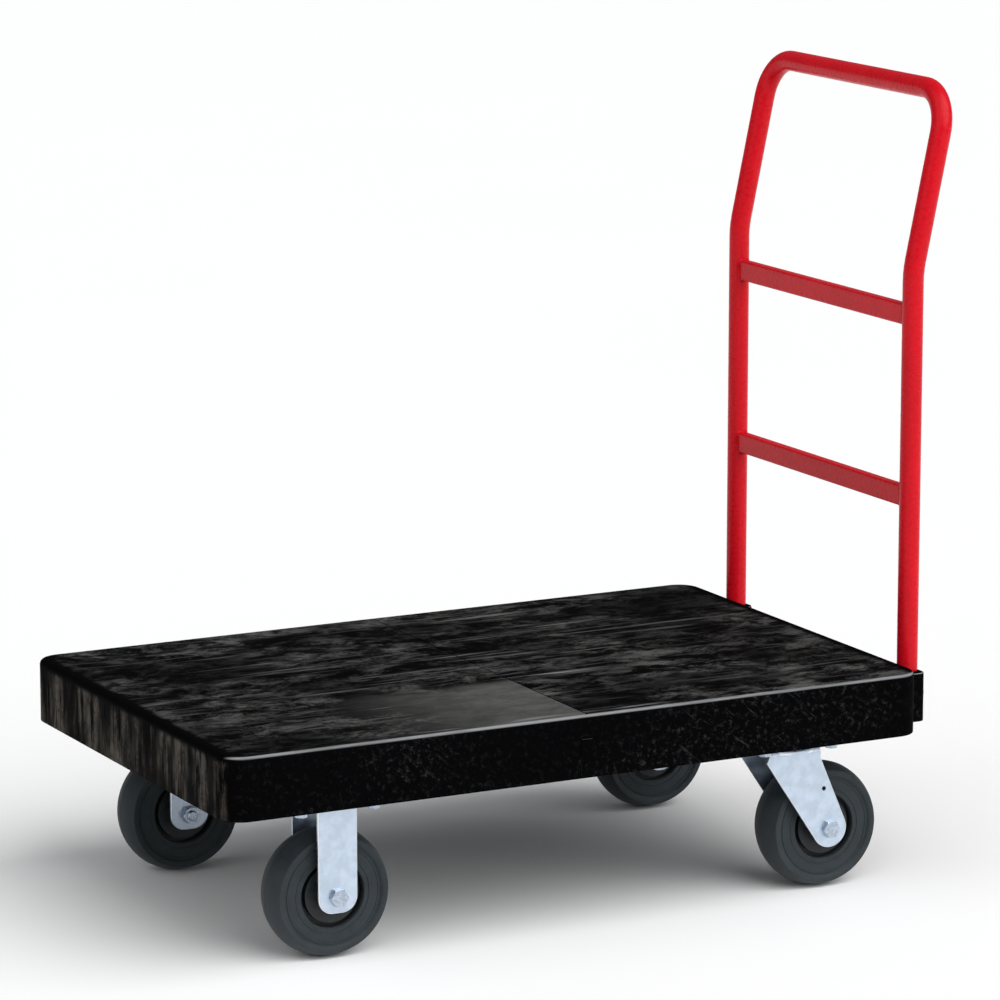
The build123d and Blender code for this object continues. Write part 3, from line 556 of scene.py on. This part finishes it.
def bead_rings(post, bar, side, sizes):
    """Rings of one rippled bead where a bar meets a post; side is the post's sign in Y."""
    depth, height, middle_z = bar
    line = even_points(bar_outline(depth, height, BAR_CORNER), sizes.ripple / STEPS_PER_RIPPLE)
    inward = Vector((0, -side, 0))
    rings = []
    for i, (x, z) in enumerate(line):
        phase = (i % STEPS_PER_RIPPLE) / STEPS_PER_RIPPLE
        radius = sizes.bead * (1.0 + 0.16 * sin(2 * pi * phase) + 0.05 * sin(i * 1.7))
        before, after = line[i - 1], line[(i + 1) % len(line)]
        along = Vector((after[0] - before[0], 0, after[1] - before[1])).normalized()
        out = Vector((along.z, 0, -along.x))
        # The bead follows the tube's round side.
        aside = min(abs(x), TUBE_RADIUS * 0.98)
        y = post.y - side * sqrt(TUBE_RADIUS ** 2 - aside ** 2)
        centre = Vector((post.x + x, y, middle_z + z))
        turns = [2 * pi * k / BEAD_SIDES for k in range(BEAD_SIDES)]
        rings.append([centre + (out * cos(a) + inward * sin(a)) * radius for a in turns])
    return rings


def merge(parts):
    """One bmesh that holds several."""
    whole = bmesh.new()
    for part in parts:
        mesh = bpy.data.meshes.new("part")
        part.to_mesh(mesh)
        part.free()
        whole.from_mesh(mesh)
        bpy.data.meshes.remove(mesh)
    return whole


# Operators -----------------------------------------------------------------------------------

class TRUCK_OT_deck(Operator):
    """Finish the moulded deck, its ribs and its caster pads"""
    bl_idname = "truck.deck"
    bl_label = "Deck"

    def execute(self, context):
        material = foam_plastic(context.scene.truck_colours)
        finish_nodes(["deck", "deck_ribs", "caster_pads", "caster_bosses"], material)
        return {"FINISHED"}


class TRUCK_OT_handle(Operator):
    """Enamel the handle and its crossbars, and lay the weld beads"""
    bl_idname = "truck.handle"
    bl_label = "Handle"

    def execute(self, context):
        material = enamel(context.scene.truck_colours)
        finish_nodes(["handle_tube", "lower_crossbar", "upper_crossbar"], material)
        sizes = context.scene.truck_sizes
        outer_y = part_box("handle_tube")[1].y
        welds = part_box("crossbar_welds")
        post_x = (welds[0].x + welds[1].x) / 2
        beads = []
        for name in ("lower_crossbar", "upper_crossbar"):
            a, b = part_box(name)
            bar = (b.x - a.x, b.z - a.z, (a.z + b.z) / 2)
            for side in (-1, 1):
                post = Vector((post_x, side * (outer_y - TUBE_RADIUS), 0))
                beads.append(loft(bead_rings(post, bar, side, sizes)))
        new_piece("weld_beads", merge(beads), material, "root", "red_enamel", "crossbar_welds")
        return {"FINISHED"}


class TRUCK_OT_hardware(Operator):
    """Plate the bolts, washers and nuts, and finish the threaded inserts"""
    bl_idname = "truck.hardware"
    bl_label = "Fasteners"

    def execute(self, context):
        material = zinc_hardware(context.scene.truck_colours)
        finish_nodes(["handle_bolts", "handle_washers", "handle_nuts", "caster_bolts", "caster_washers"],
                     material)
        finish_nodes([f"{name}_{side}" for name in ("kingpin", "kingpin_nut") for side in SIDES], material)
        finish_nodes([f"{name}_{end}_{side}" for name in ("axle_bolt", "axle_nut") for end, side in WHEELS],
                     material)
        finish_nodes(["threaded_inserts"], turned_brass())
        return {"FINISHED"}


class TRUCK_OT_casters(Operator):
    """Plate the caster sheet metal and finish the bearings"""
    bl_idname = "truck.casters"
    bl_label = "Casters"

    def execute(self, context):
        sheet = [f"{name}_{side}" for name in ("rigid_plate", "rigid_horn", "swivel_plate", "swivel_yoke")
                 for side in SIDES]
        finish_nodes(sheet, zinc_sheet(context.scene.truck_colours))
        steel = ground_steel()
        finish_nodes([f"{name}_{side}" for name in ("race_cup", "upper_balls", "lower_balls")
                      for side in SIDES], steel)
        finish_nodes([f"{name}_{end}_{side}" for name in ("rollers", "axle_sleeve", "thrust_washers")
                      for end, side in WHEELS], steel)
        return {"FINISHED"}


class TRUCK_OT_wheels(Operator):
    """Mould the four tyres and finish the hubs"""
    bl_idname = "truck.wheels"
    bl_label = "Wheels"

    def execute(self, context):
        colours, sizes = context.scene.truck_colours, context.scene.truck_sizes
        rubber = tyre_rubber(colours)
        finish_nodes([f"hub_{end}_{side}" for end, side in WHEELS], hub_plastic(colours))
        for end, side in WHEELS:
            low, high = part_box(f"tyre_{end}_{side}")
            shape = tyre_mesh((low + high) / 2, (high.z - low.z) / 2, (high.y - low.y) / 2, sizes)
            new_piece(f"moulded_tyre_{end}_{side}", shape, rubber, f"wheel_{end}_{side}", "tyre_rubber",
                      f"tyre_{end}_{side}")
        return {"FINISHED"}


class TRUCK_OT_studio(Operator):
    """Lay the floor and set the lights and the camera"""
    bl_idname = "truck.studio"
    bl_label = "Studio"

    def execute(self, context):
        studio = context.scene.truck_studio
        lay_floor(context)
        light_world(context, studio.sky)
        right = Vector((cos(studio.azimuth), sin(studio.azimuth), 0))
        back = Vector((sin(studio.azimuth) * cos(studio.elevation),
                       -cos(studio.azimuth) * cos(studio.elevation), sin(studio.elevation)))
        up = Vector((0, 0, 1))
        aim = Vector((SEAM_X, 0, DECK_TOP)) + right * AIM_RIGHT + back.cross(right) * AIM_UP
        soft_light("key_light", aim, right * 0.75 + back * 0.55 + up * 0.80, studio.key)
        soft_light("fill_light", aim, back * 0.75 - right * 0.75 + up * 0.85, studio.fill)
        set_camera(context, aim, back, studio)
        context.scene.view_settings.view_transform = "Standard"
        return {"FINISHED"}


def lay_floor(context):
    """A wide plain floor at the height the wheels stand on."""
    shape = bmesh.new()
    bmesh.ops.create_grid(shape, x_segments=4, y_segments=4, size=FLOOR_SIZE / 2)
    mesh = bpy.data.meshes.new("studio_floor")
    shape.to_mesh(mesh)
    shape.free()
    floor = bpy.data.objects.new("studio_floor", mesh)
    context.scene.collection.objects.link(floor)
    floor.data.materials.append(studio_floor(context.scene.truck_colours))


def light_world(context, strength):
    """Even pale studio walls."""
    world = bpy.data.worlds.new("studio_walls")
    world.use_nodes = True
    background = world.node_tree.nodes["Background"]
    background.inputs["Color"].default_value = rgba("#F4F7FA")
    background.inputs["Strength"].default_value = strength
    context.scene.world = world


def soft_light(name, aim, toward, strength):
    """A very broad even light from the direction given, so that it lights the whole floor alike."""
    lamp = bpy.data.lights.new(name, "SUN")
    lamp.energy, lamp.angle = strength, SOFTNESS
    holder = bpy.data.objects.new(name, lamp)
    bpy.context.scene.collection.objects.link(holder)
    holder.location = aim + toward.normalized() * LAMP_DISTANCE
    holder.rotation_euler = (-toward).to_track_quat("-Z", "Y").to_euler()


def set_camera(context, aim, back, studio):
    """The main camera, level, looking down at the truck from its front left."""
    data = bpy.data.cameras.new("studio_camera")
    data.lens, data.sensor_width = studio.lens, 36.0
    data.clip_end = 100.0
    camera = bpy.data.objects.new("studio_camera", data)
    context.scene.collection.objects.link(camera)
    camera.location = aim + back * studio.distance
    camera.rotation_euler = (-back).to_track_quat("-Z", "Y").to_euler()
    context.scene.camera = camera


class TRUCK_PT_panel(Panel):
    """Buttons for each group of pieces, with their sizes and colours"""
    bl_idname = "TRUCK_PT_panel"
    bl_label = "Platform truck"
    bl_space_type = "VIEW_3D"
    bl_region_type = "UI"
    bl_category = "Truck"

    def draw(self, context):
        layout = self.layout
        for operator in STEPS:
            layout.operator(operator.bl_idname)
        for title, group in (("Sizes", context.scene.truck_sizes), ("Colours", context.scene.truck_colours),
                             ("Studio", context.scene.truck_studio)):
            box = layout.box()
            box.label(text=title)
            for name in group.__annotations__:
                box.prop(group, name)


STEPS = (TRUCK_OT_deck, TRUCK_OT_handle, TRUCK_OT_hardware, TRUCK_OT_casters, TRUCK_OT_wheels,
         TRUCK_OT_studio)
GROUPS = {"truck_sizes": TruckSizes, "truck_colours": TruckColours, "truck_studio": TruckStudio}


def register():
    """Adds the classes and the scene's settings."""
    for item in (*GROUPS.values(), *STEPS, TRUCK_PT_panel):
        bpy.utils.register_class(item)
    for name, group in GROUPS.items():
        setattr(bpy.types.Scene, name, PointerProperty(type=group))


def unregister():
    """Removes what register added."""
    for name in GROUPS:
        delattr(bpy.types.Scene, name)
    for item in reversed((*GROUPS.values(), *STEPS, TRUCK_PT_panel)):
        bpy.utils.unregister_class(item)


def main():
    """Builds every piece in order."""
    register()
    bpy.ops.truck.deck()
    bpy.ops.truck.handle()
    bpy.ops.truck.hardware()
    bpy.ops.truck.casters()
    bpy.ops.truck.wheels()
    bpy.ops.truck.studio()


if __name__ == "__main__":
    main()
